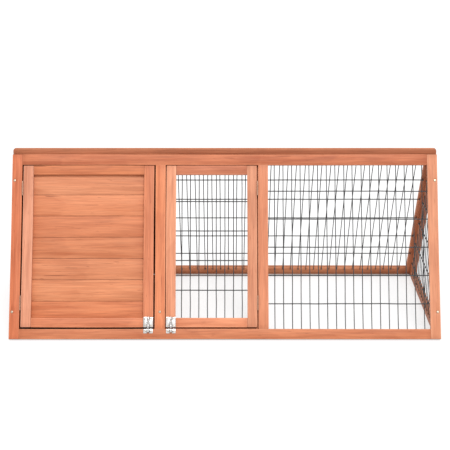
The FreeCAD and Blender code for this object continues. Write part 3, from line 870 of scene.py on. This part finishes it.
# the first upright and row are measured on the bench, from the opening's corner nearest its origin
meshLayout = {
    "front_run_mesh": {"firstUpright": 0.018, "uprightPitch": 0.02457,
                       "firstRow": 0.0709, "rowPitch": 0.0796},
    "rear_run_mesh": {"firstUpright": 0.024, "uprightPitch": 0.0244,
                      "firstRow": 0.0735, "rowPitch": 0.0795},
    "run_door_mesh": {"firstUpright": 0.016, "uprightPitch": 0.0242,
                      "firstRow": 0.0778, "rowPitch": 0.0836},
}


def drawnWire(length, radius):
    # one wire standing on the origin, drawn through rollers, so never quite straight
    clearSelection()
    bpy.ops.mesh.primitive_cylinder_add(vertices=wire["sides"], radius=radius, depth=length,
                                        location=(0, 0, length / 2))
    piece = justAdded()
    cuts = max(2, int(length / wire["stepEvery"]))
    selectEdges(piece, lambda a, b: abs(a.z - b.z) > length * 0.9)
    bpy.ops.mesh.subdivide(number_cuts=cuts)
    leaveEdit()
    step = length / (cuts + 1)
    for i in range(1, cuts + 1):
        selectPoints(piece, lambda p: abs(p.z - i * step) < step * 0.3)
        bpy.ops.transform.translate(value=(chance.gauss(0, wire["waver"]), 0, 0))
        leaveEdit()
    return piece


def weldDrop():
    # the bead where two wires are melted into each other
    clearSelection()
    bpy.ops.mesh.primitive_ico_sphere_add(subdivisions=1, radius=wire["radius"] * wire["drop"])
    drop = bpy.context.object
    bpy.ops.transform.resize(value=(1.0, 1.0, wire["dropFlat"]))
    fixPlace()
    return drop


def placedCopies(model, turnAndPlace):
    made = []
    for matrix in turnAndPlace:
        piece = bpy.data.objects.new(model.name, model.data.copy())
        bpy.context.scene.collection.objects.link(piece)
        piece.data.transform(matrix)
        made.append(piece)
    return made


def weldedPanel(node, lean):
    layout = meshLayout[node]
    low, high = flatBox(node, lean)
    uprightZ = high.z - wire["radius"]
    rowZ = uprightZ - wire["radius"] - wire["rowRadius"] + wire["sink"]
    xs, ys = [], []
    x = low.x + wire["lap"] + layout["firstUpright"]
    while x < high.x - wire["lap"]:
        xs.append(x)
        x += layout["uprightPitch"]
    y = low.y + wire["lap"] + layout["firstRow"]
    while y < high.y - wire["lap"]:
        ys.append(y)
        y += layout["rowPitch"]
    along = Matrix.Rotation(math.radians(-90), 4, "X")
    across = Matrix.Rotation(math.radians(90), 4, "Y")
    models = [drawnWire(high.y - low.y, wire["radius"]) for _ in range(3)]
    uprightPlaces = [[], [], []]
    for i, x in enumerate(xs):
        astray = Matrix.Rotation(chance.gauss(0, wire["stray"]), 4, "Z")
        uprightPlaces[i % 3].append(Matrix.Translation((x, low.y, uprightZ)) @ astray @ along)
    wires = []
    for model, places in zip(models, uprightPlaces):
        wires += placedCopies(model, places)
    rowModel = drawnWire(high.x - low.x, wire["rowRadius"])
    turned = Matrix.Rotation(math.radians(90), 4, "Z")
    wires += placedCopies(rowModel, [Matrix.Translation((low.x, y, rowZ)) @ across @ turned for y in ys])
    drop = weldDrop()
    wires += placedCopies(drop, [Matrix.Translation((x, y, (uprightZ + rowZ) / 2)) for x in xs for y in ys])
    for model in (*models, rowModel, drop):
        bpy.data.objects.remove(model)
    panel = joinAs(pieceName(node), wires)
    leanInto(panel, lean)
    smooth(panel, 60)
    settle(panel, bodyOf(node), [node], wireCoat)


gableWire = {"pitch": 0.0245, "firstRow": 0.032, "rowPitch": 0.080}


def weldedGable():
    low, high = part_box("right_gable_mesh")
    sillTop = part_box("right_gable_sill")[1].z
    legInside = flatBox("right_gable_front_leg", frontLean)[0].z
    uprightX = high.x - wire["radius"]
    rowX = low.x + wire["rowRadius"]
    onLeg = frontLean @ Vector((0, 0, legInside + wire["lap"]))
    outward = frontLean.to_3x3() @ Vector((0, 0, 1))

    # how far from the middle the wire reaches at a height, and how high it reaches at a place
    def halfAt(z):
        return -(onLeg.y + (onLeg.z - z) * outward.z / outward.y)

    def topAt(y):
        return onLeg.z + (onLeg.y + abs(y)) * outward.y / outward.z

    firstRow = sillTop + gableWire["firstRow"]
    rows = []
    z = firstRow
    while halfAt(z) > wire["lap"] / slopeSin:
        rows.append(z)
        z += gableWire["rowPitch"]
    side = int((halfAt(firstRow) - wire["lap"] / slopeSin) / gableWire["pitch"])
    wires = []
    ys = [i * gableWire["pitch"] for i in range(-side, side + 1)]
    base = sillTop - wire["lap"]
    quarterTurn = Matrix.Rotation(math.pi / 2, 4, "Z")
    level = Matrix.Rotation(-math.pi / 2, 4, "X")
    for y in ys:
        model = drawnWire(topAt(y) - base, wire["radius"])
        wires += placedCopies(model, [Matrix.Translation((uprightX, y, base)) @ quarterTurn])
        bpy.data.objects.remove(model)
    for z in rows:
        model = drawnWire(2 * halfAt(z), wire["rowRadius"])
        wires += placedCopies(model, [Matrix.Translation((rowX, -halfAt(z), z)) @ level @ quarterTurn])
        bpy.data.objects.remove(model)
    drop = weldDrop()
    spots = [(y, z) for y in ys for z in rows if abs(y) < halfAt(z) and z < topAt(y)]
    wires += placedCopies(drop, [Matrix.Translation(((uprightX + rowX) / 2, y, z)) for y, z in spots])
    bpy.data.objects.remove(drop)
    panel = joinAs("rightGableMesh", wires)
    smooth(panel, 60)
    settle(panel, "hutch", ["right_gable_mesh"], wireCoat)


# hardware

boltSet = {"sheet": 0.001, "corner": 0.0016, "edge": 0.00022, "strap": 0.0008, "rodSides": 28,
           "notchDepth": 0.003, "notchWidth": 0.007, "rod": 0.0025, "play": 0.0003, "tip": 0.0006,
           "lowerStrap": 0.007, "slideDown": 0.0075, "slideUp": 0.004, "stem": 0.0014, "stemFlare": 1.12,
           "stemSink": 0.0004, "knob": 0.0026, "shoulderDrop": 1.45, "shoulder": 0.86}
rodHeight = boltSet["sheet"] + boltSet["play"] + boltSet["rod"]


def boltSheet(low, high, notchAtTop):
    # a pressed sheet with rounded corners and a notch where the rod passes
    clearSelection()
    size = Vector((high.x - low.x, high.y - low.y, boltSet["sheet"]))
    middle = Vector(((low.x + high.x) / 2, (low.y + high.y) / 2, boltSet["sheet"] / 2))
    bpy.ops.mesh.primitive_cube_add(size=1, location=middle, scale=size)
    sheet = justAdded()
    selectEdges(sheet, lambda a, b: abs(a.z - b.z) > boltSet["sheet"] * 0.5)
    bpy.ops.mesh.bevel(offset=boltSet["corner"], segments=4)
    leaveEdit()
    edge = high.y if notchAtTop else low.y
    inner = edge - boltSet["notchDepth"] if notchAtTop else edge + boltSet["notchDepth"]
    halfNotch = boltSet["notchWidth"] / 2
    beyond = edge + 0.01 if notchAtTop else edge - 0.01
    cutAway(sheet, Vector((middle.x - halfNotch, min(inner, beyond), -0.01)),
            Vector((middle.x + halfNotch, max(inner, beyond), 0.01)))
    roundEdges(sheet, boltSet["edge"])
    return sheet


def boltStrap(x, yLow, yHigh):
    # half a tube over the rod, its walls run down into the sheet
    outer = boltSet["rod"] + boltSet["play"] + boltSet["strap"]
    clearSelection()
    bpy.ops.mesh.primitive_cylinder_add(vertices=32, radius=outer, depth=yHigh - yLow,
                                        end_fill_type="NOTHING", rotation=(math.radians(90), 0, 0),
                                        location=(x, (yLow + yHigh) / 2, rodHeight))
    strap = justAdded()
    startEdit()
    bpy.ops.mesh.select_all(action="SELECT")
    bpy.ops.mesh.bisect(plane_co=(x, yLow, rodHeight), plane_no=(0, 0, -1), clear_outer=True)
    leaveEdit()
    selectEdges(strap, lambda a, b: abs(a.z - rodHeight) < 1e-5 and abs(b.z - rodHeight) < 1e-5)
    wallFoot = boltSet["sheet"] * 0.6
    bpy.ops.mesh.extrude_edges_move(TRANSFORM_OT_translate={"value": (0, 0, wallFoot - rodHeight)})
    leaveEdit()
    outwards(strap)
    modify(strap, "SOLIDIFY", thickness=boltSet["strap"], offset=-1)
    outwards(strap)
    roundEdges(strap, boltSet["edge"] * 0.8)
    return strap


def makeBolt(door, boltBody):
    plateNode, keeperNode = door + "_bolt_plate", door + "_bolt_keeper"
    low, high = flatBox(plateNode, frontLean)
    rodLow, rodHigh = flatBox(door + "_bolt", frontLean)
    x = (low.x + high.x) / 2
    topOfStrap = high.y - boltSet["notchDepth"]
    lowerTop = low.y + boltSet["lowerStrap"]
    knobY = lowerTop + boltSet["play"] + boltSet["slideDown"] + boltSet["stem"]
    upperLow = knobY + boltSet["stem"] + boltSet["slideUp"] + boltSet["play"]
    plate = joinAs(pieceName(plateNode), [boltSheet(low, high, True), boltStrap(x, low.y, lowerTop),
                                          boltStrap(x, upperLow, topOfStrap)])
    leanInto(plate, frontLean)
    smooth(plate, 40)
    settle(plate, door, [plateNode], brightZinc)

    low, high = flatBox(keeperNode, frontLean)
    keeper = joinAs(pieceName(keeperNode), [boltSheet(low, high, False),
                                            boltStrap(x, low.y + boltSet["notchDepth"], high.y)])
    leanInto(keeper, frontLean)
    smooth(keeper, 40)
    settle(keeper, "hutch", [keeperNode], brightZinc)

    # the rod, with turned tips, and its knob on a short stem
    clearSelection()
    bpy.ops.mesh.primitive_cylinder_add(vertices=boltSet["rodSides"], radius=boltSet["rod"],
                                        depth=rodHigh.y - rodLow.y,
                                        location=(x, (rodLow.y + rodHigh.y) / 2, rodHeight),
                                        rotation=(math.radians(90), 0, 0))
    rod = justAdded()
    roundEdges(rod, boltSet["tip"], 3)
    clearSelection()
    topOfKnob = rodHigh.z
    stemHigh = topOfKnob - 2 * boltSet["knob"] + boltSet["stemSink"]
    bpy.ops.mesh.primitive_cylinder_add(vertices=20, radius=boltSet["stem"], depth=stemHigh - rodHeight,
                                        location=(x, knobY, (stemHigh + rodHeight) / 2))
    stem = justAdded()
    selectEdges(stem, lambda a, b: a.z > stemHigh - 1e-5 and b.z > stemHigh - 1e-5)
    flare = boltSet["stemFlare"]
    bpy.ops.transform.resize(value=(flare, flare, 1), center_override=(x, knobY, stemHigh))
    leaveEdit()
    clearSelection()
    bpy.ops.mesh.primitive_uv_sphere_add(segments=24, ring_count=14, radius=boltSet["knob"],
                                         location=(x, knobY, topOfKnob - boltSet["knob"]))
    knob = justAdded()
    # a turned shoulder low on the knob
    shoulderZ = topOfKnob - boltSet["shoulderDrop"] * boltSet["knob"]
    selectEdges(knob, lambda a, b: abs(a.z - b.z) < 1e-6 and abs(a.z - shoulderZ) < boltSet["knob"] * 0.12)
    bpy.ops.transform.resize(value=(boltSet["shoulder"], boltSet["shoulder"], 1),
                             center_override=(x, knobY, topOfKnob - boltSet["knob"]))
    leaveEdit()
    bolt = joinAs(pieceName(door + "_bolt"), [rod, stem, knob])
    leanInto(bolt, frontLean)
    smooth(bolt, 40)
    settle(bolt, boltBody, [door + "_bolt"], brightZinc)


screwShape = {
    "small": {"head": 0.0019, "headHeight": 0.0007, "shank": 0.0010, "long": 0.009, "slot": 0.0005},
    "panel": {"head": 0.0035, "headHeight": 0.0015, "shank": 0.0017, "long": 0.030, "slot": 0.0009},
}


def screwModel(kind):
    # stands with its seat on the origin: a domed head with a cross cut in it, over a plain shank
    size = screwShape[kind]
    clearSelection()
    bpy.ops.mesh.primitive_cylinder_add(vertices=20, radius=size["head"], depth=size["headHeight"],
                                        location=(0, 0, size["headHeight"] / 2))
    head = justAdded()
    selectEdges(head, lambda a, b: a.z > size["headHeight"] * 0.9 and b.z > size["headHeight"] * 0.9)
    bpy.ops.mesh.bevel(offset=size["headHeight"] * 0.55, segments=3)
    leaveEdit()
    arm, slot = size["head"] * 0.62, size["slot"] / 2
    deep = size["headHeight"] * 0.45
    cutAway(head, Vector((-arm, -slot, deep)), Vector((arm, slot, 0.01)))
    cutAway(head, Vector((-slot, -arm, deep)), Vector((slot, arm, 0.01)))
    clearSelection()
    bpy.ops.mesh.primitive_cylinder_add(vertices=12, radius=size["shank"], depth=size["long"],
                                        location=(0, 0, -size["long"] / 2))
    shank = justAdded()
    # drawn in to a point
    selectEdges(shank, lambda a, b: a.z < -size["long"] * 0.9 and b.z < -size["long"] * 0.9)
    bpy.ops.transform.resize(value=(0.3, 0.3, 1), center_override=(0, 0, -size["long"]))
    leaveEdit()
    return joinAs("screwModel", [head, shank])


def turnedHead():
    return Matrix.Rotation(chance.uniform(0, math.pi), 4, "Z")


def makePanelScrews():
    model = screwModel("panel")
    seat = -screwShape["panel"]["headHeight"]
    places = []
    for side, lean in (("front", frontLean), ("rear", rearLean)):
        places += [lean @ Matrix.Translation((x, y, seat)) @ turnedHead() for x, y in screwSpots[side]]
    screws = placedCopies(model, places)
    bpy.data.objects.remove(model)
    whole = joinAs("panelScrews", screws)
    smooth(whole, 35)
    settle(whole, "hutch", ["panel_screws"], screwZinc)


def makeSmallScrews(node, gapMiddles):
    # screws square to the panel hold the bolts, and those along the hutch hold the hinge leaves
    model = screwModel("small")
    size = screwShape["small"]
    places = []
    for low, high in looseBoxes(node, frontLean):
        middle = (low + high) / 2
        if high.z - low.z > high.x - low.x:
            spot = Matrix.Translation((middle.x, middle.y, high.z - size["headHeight"]))
            places.append(frontLean @ spot @ turnedHead())
            continue
        gap = min(gapMiddles, key=lambda g: abs(g - middle.x))
        way = 1 if middle.x > gap else -1
        headEnd = low.x if way > 0 else high.x
        spot = Matrix.Translation((headEnd + way * size["headHeight"], middle.y, middle.z))
        places.append(frontLean @ spot @ Matrix.Rotation(-way * math.pi / 2, 4, "Y") @ turnedHead())
    screws = placedCopies(model, places)
    bpy.data.objects.remove(model)
    whole = joinAs(pieceName(node), screws)
    smooth(whole, 35)
    settle(whole, bodyOf(node), [node], screwZinc)


def finishCarriedParts():
    # hinges and staples keep their CAD shape and take their finish
    for node in ("hinge_frame_leaves", "hinge_pins", "house_door_hinge_leaves", "run_door_hinge_leaves"):
        frame["nodes"][node].data.materials.clear()
        frame["nodes"][node].data.materials.append(dullHinge)
    for node in ("frame_staples", "run_door_staples"):
        frame["nodes"][node].data.materials.clear()
        frame["nodes"][node].data.materials.append(darkStaple)


# studio

studio = {"floorSize": 60, "floorDrop": 0.0004, "floor": 0.30, "floorRough": 0.9, "floorGlow": 0.66,
          "sky": 1.0, "sun": 2.2, "sunTurn": (38, 0, 14), "sunAngle": 30,
          "footAt": 0.232, "footShade": 0.0085}


def setStudio():
    clearSelection()
    bpy.ops.mesh.primitive_plane_add(size=studio["floorSize"], location=(0, 0, -studio["floorDrop"]))
    floor = bpy.context.object
    floor.name = "studioFloor"
    material, tree, skin = newMaterial("studioFloorPaper")
    skin.inputs["Base Color"].default_value = (studio["floor"],) * 3 + (1,)
    skin.inputs["Roughness"].default_value = studio["floorRough"]
    skin.inputs["Specular IOR Level"].default_value = 0.1
    skin.inputs["Emission Strength"].default_value = studio["floorGlow"]
    # the paper glows evenly so that it stays white; the glow is taken away in a ring along the hutch's long
    # feet, as a painted contact shadow, and inside the boarded house, as painted shade
    where = addNode(tree, "ShaderNodeTexCoord").outputs["Object"]
    spot = addNode(tree, "ShaderNodeSeparateXYZ", inputs={"Vector": where}).outputs
    fromMiddle = maths(tree, "ABSOLUTE", spot[1])
    foot = maths(tree, "ABSOLUTE", maths(tree, "SUBTRACT", fromMiddle, studio["footAt"]))
    underFoot = remap(tree, foot, 0.7 * studio["footShade"], studio["footShade"], 1.0, 0.0)
    beside = maths(tree, "ABSOLUTE", spot[0])
    underFoot = times(tree, underFoot, maths(tree, "LESS_THAN", beside, cadBox[1].x))
    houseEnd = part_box("partition_front_leg")[0].x
    inHouse = times(tree, maths(tree, "LESS_THAN", spot[0], houseEnd),
                    maths(tree, "GREATER_THAN", spot[0], cadBox[0].x))
    inHouse = times(tree, inHouse, maths(tree, "LESS_THAN", fromMiddle, studio["footAt"]))
    dark = maths(tree, "MAXIMUM", underFoot, inHouse)
    plug(tree, blendColour(tree, dark, (1, 1, 1, 1), (0, 0, 0, 1)), skin.inputs["Emission Color"])
    floor.data.materials.append(material)
    world = bpy.data.worlds.new("studioWorld")
    world.use_nodes = True
    sky = world.node_tree.nodes["Background"].inputs
    sky["Color"].default_value = (1, 1, 1, 1)
    sky["Strength"].default_value = studio["sky"]
    bpy.context.scene.world = world
    bpy.ops.object.light_add(type="SUN", rotation=[math.radians(a) for a in studio["sunTurn"]])
    sun = bpy.context.object
    sun.name = "softSun"
    sun.data.energy = studio["sun"]
    sun.data.angle = math.radians(studio["sunAngle"])
    bpy.context.scene.view_settings.view_transform = "Standard"


setCamera()
makePanelFrames()
makeDoorStops()
print("frames made")
makeBoards()
crossBoards("left_gable_boards")
crossBoards("partition_boards")
print("boards made")
for prefix in ("left_gable", "partition", "right_gable"):
    crossFrame(prefix)
makeRidge()
print("cross frames and ridge made")
for node, lean in (("front_run_mesh", frontLean), ("rear_run_mesh", rearLean), ("run_door_mesh", frontLean)):
    weldedPanel(node, lean)
weldedGable()
print("wire made")
makeBolt("house_door", "house_bolt")
makeBolt("run_door", "run_bolt")
makePanelScrews()
pinLow, pinHigh = zip(*looseBoxes("hinge_pins", frontLean))
gapMiddles = [(a.x + b.x) / 2 for a, b in zip(pinLow, pinHigh)]
for node in ("frame_hardware_screws", "house_door_screws", "run_door_screws"):
    makeSmallScrews(node, gapMiddles)
finishCarriedParts()
setStudio()
print("hardware and studio made")
